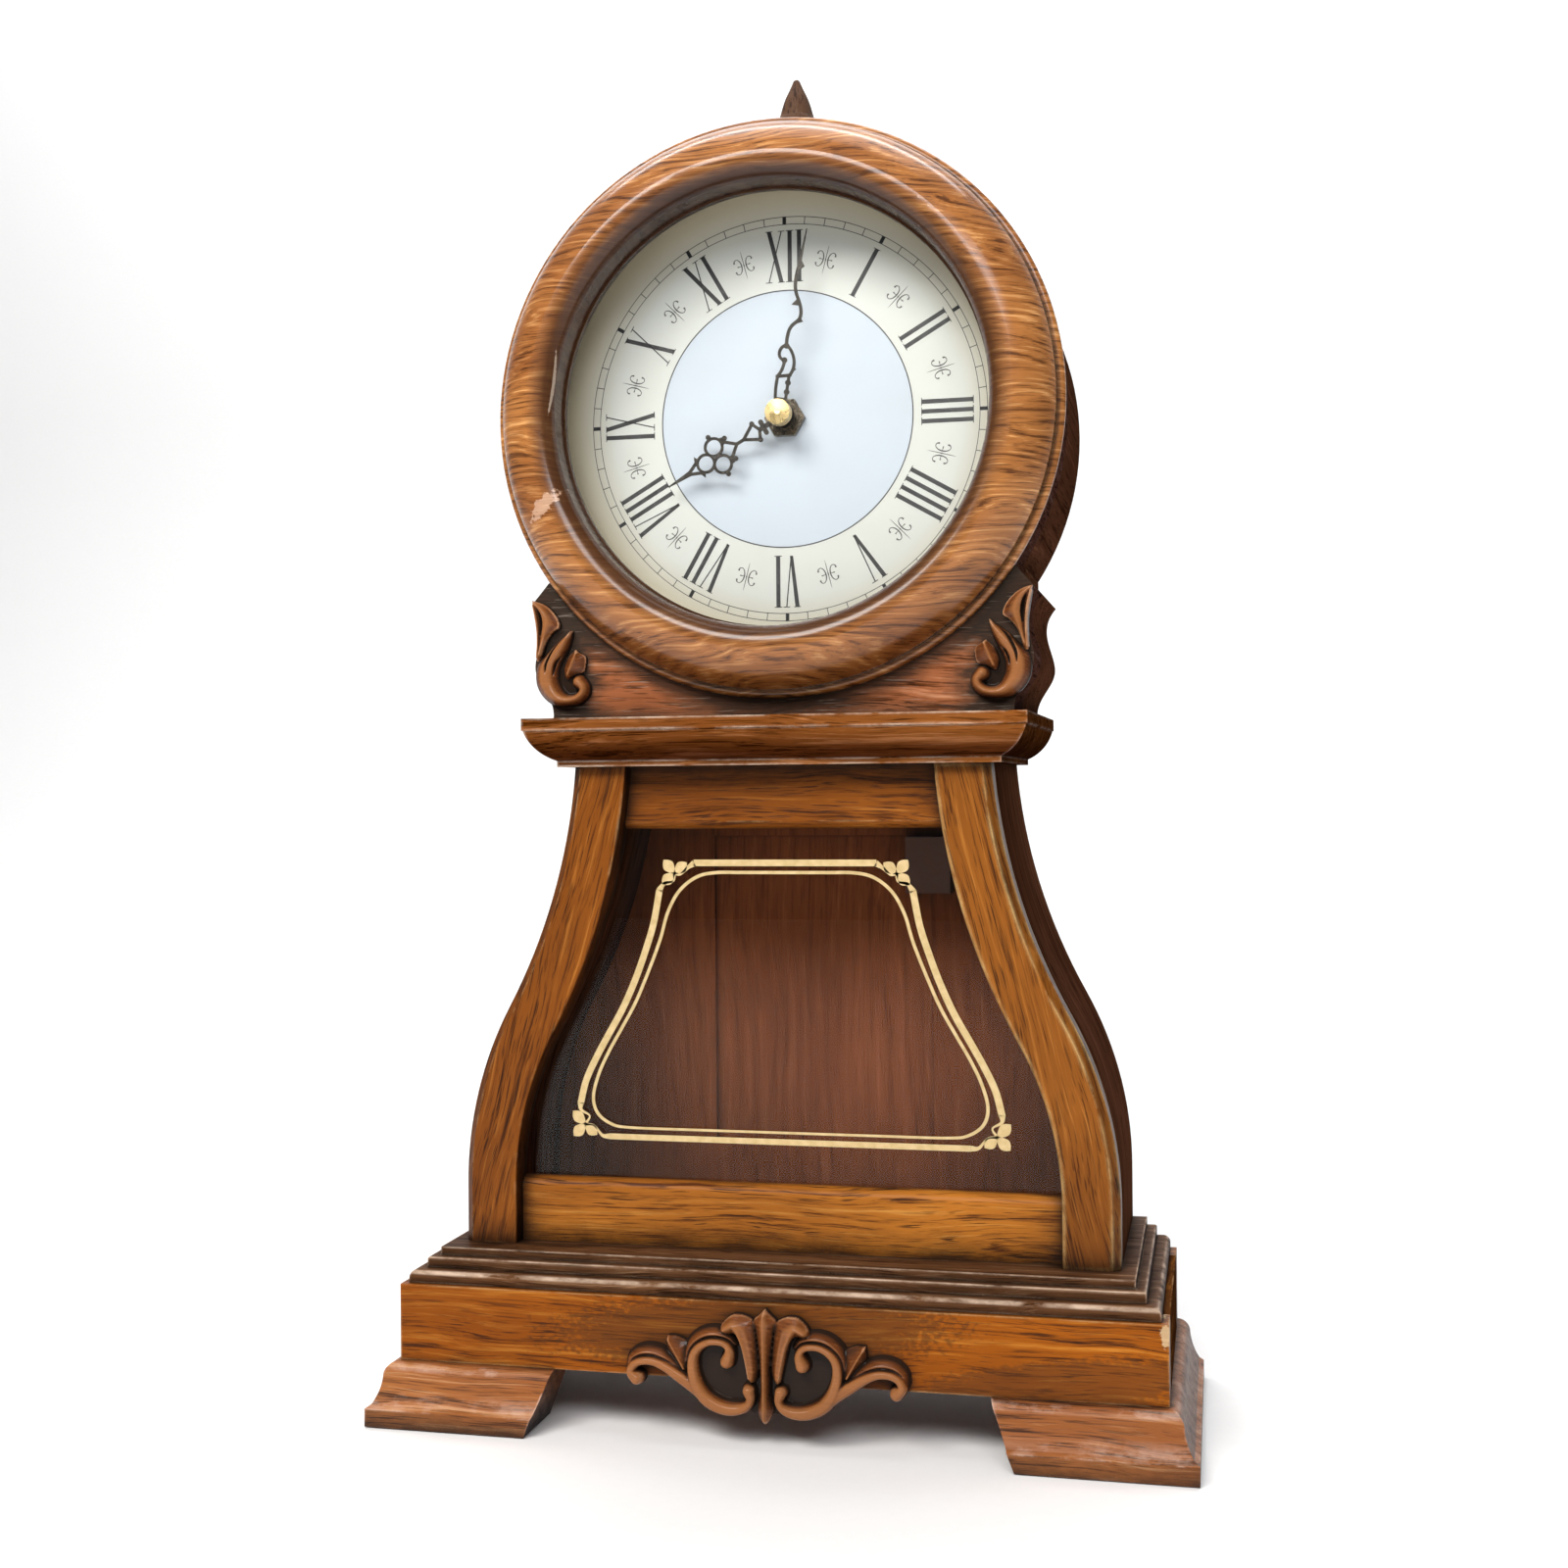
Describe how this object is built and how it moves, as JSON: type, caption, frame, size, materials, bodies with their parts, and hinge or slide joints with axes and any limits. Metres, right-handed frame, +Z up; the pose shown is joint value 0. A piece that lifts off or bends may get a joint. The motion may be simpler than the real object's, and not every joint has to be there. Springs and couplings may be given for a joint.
{
  "type": "waisted mantel clock",
  "caption": "Round-headed oak mantel clock with an S-sided glazed waist, stepped plinth, carved ornaments, filigree hands on a quartz movement and a hinged rear door.",
  "frame": {"origin": "centre of the overall box at table level, under the feet", "axes": "+Z up, +X to the right seen from the front, -Y is the dial side"},
  "size_m": [0.268, 0.109, 0.4548],
  "materials": {
    "oak": "stained oak, satin",
    "oak_dark": "dark stained wood, satin",
    "oak_carved": "carved wood with dark glaze",
    "oak_face": "shaded stained board",
    "plywood": "stained plywood",
    "clear_glass": "clear float glass",
    "dial_white": "matt off-white",
    "hand_black": "satin black",
    "brass": "turned brass",
    "steel": "plain steel",
    "black_plastic": "black moulding",
    "gear_plastic": "natural acetal",
    "board_green": "coated board",
    "cell_skin": "printed sleeve",
    "cone_paper": "pressed paper"
  },
  "bodies": {
    "case": {"left_foot": "oak", "right_foot": "oak", "plinth_front": "oak", "plinth_left": "oak", "plinth_right": "oak", "base_lower_moulding": "oak", "base_upper_moulding": "oak", "left_column": "oak", "right_column": "oak", "top_rail": "oak", "bottom_rail": "oak", "shelf": "oak", "bezel": "oak", "plinth_back": "oak_dark", "plinth_bottom": "oak_dark", "left_side": "oak_dark", "right_side": "oak_dark", "saddle_block": "oak_dark", "drum_hoop": "oak_dark", "glass_strips": "oak_dark", "base_carving": "oak_carved", "left_carving": "oak_carved", "right_carving": "oak_carved", "finial": "oak_carved", "face_board": "oak_face", "back_panel": "plywood", "drum_back": "plywood", "window_glass": "clear_glass", "dial_glass": "clear_glass", "dial": "dial_white", "hinge_fixed_leaves": "brass", "mounting_bush": "brass", "dial_screws": "steel", "back_screws": "steel", "train_plate": "steel", "fixing_nut": "black_plastic", "glass_ring": "black_plastic", "door_catch": "black_plastic", "module_front_case": "black_plastic", "module_rear_case": "black_plastic", "motor_unit": "black_plastic", "battery_tray": "black_plastic", "speaker_frame": "black_plastic", "circuit_board": "board_green", "battery_cells": "cell_skin", "speaker_cone": "cone_paper"},
    "minute_work": {"minute_hand": "hand_black", "hand_nut": "brass", "centre_arbor": "brass", "centre_wheel": "gear_plastic"},
    "hour_work": {"hour_hand": "hand_black", "hour_wheel": "gear_plastic"},
    "motion_work": {"motion_wheel": "gear_plastic"},
    "motor_work": {"motor_pinion": "gear_plastic"},
    "setting_work": {"setting_knob": "black_plastic"},
    "switch_work": {"chime_switch": "black_plastic"},
    "door_work": {"rear_door": "plywood", "door_pull": "brass", "hinge_door_leaves": "brass", "door_strike": "steel"}
  },
  "joints": [
    {"name": "minute_turn", "type": "hinge", "parent": "case", "child": "minute_work", "pos_m": [0, 0, 0.3328], "axis": [0, 1, 0], "continuous": true},
    {"name": "hour_turn", "type": "hinge", "parent": "case", "child": "hour_work", "pos_m": [0, 0, 0.3328], "axis": [0, 1, 0], "continuous": true},
    {"name": "motion_turn", "type": "hinge", "parent": "case", "child": "motion_work", "pos_m": [0, 0, 0.3448], "axis": [0, 1, 0], "continuous": true},
    {"name": "motor_turn", "type": "hinge", "parent": "case", "child": "motor_work", "pos_m": [0.014, 0, 0.3328], "axis": [0, 1, 0], "continuous": true},
    {"name": "setting_turn", "type": "hinge", "parent": "case", "child": "setting_work", "pos_m": [0, 0, 0.3568], "axis": [0, 1, 0], "continuous": true},
    {"name": "switch_slide", "type": "slide", "parent": "case", "child": "switch_work", "axis": [1, 0, 0], "range_m": [0, 0.005]},
    {"name": "door_swing", "type": "hinge", "parent": "case", "child": "door_work", "pos_m": [-0.0437, 0.053, 0], "axis": [0, 0, 1], "range_deg": [0, 110]}
  ],
  "couplings": [
    {"joint": "hour_turn", "follows": "minute_turn", "ratio": 0.083333},
    {"joint": "motion_turn", "follows": "minute_turn", "ratio": -0.33333},
    {"joint": "motor_turn", "follows": "minute_turn", "ratio": -6},
    {"joint": "setting_turn", "follows": "minute_turn", "ratio": 1}
  ]
}
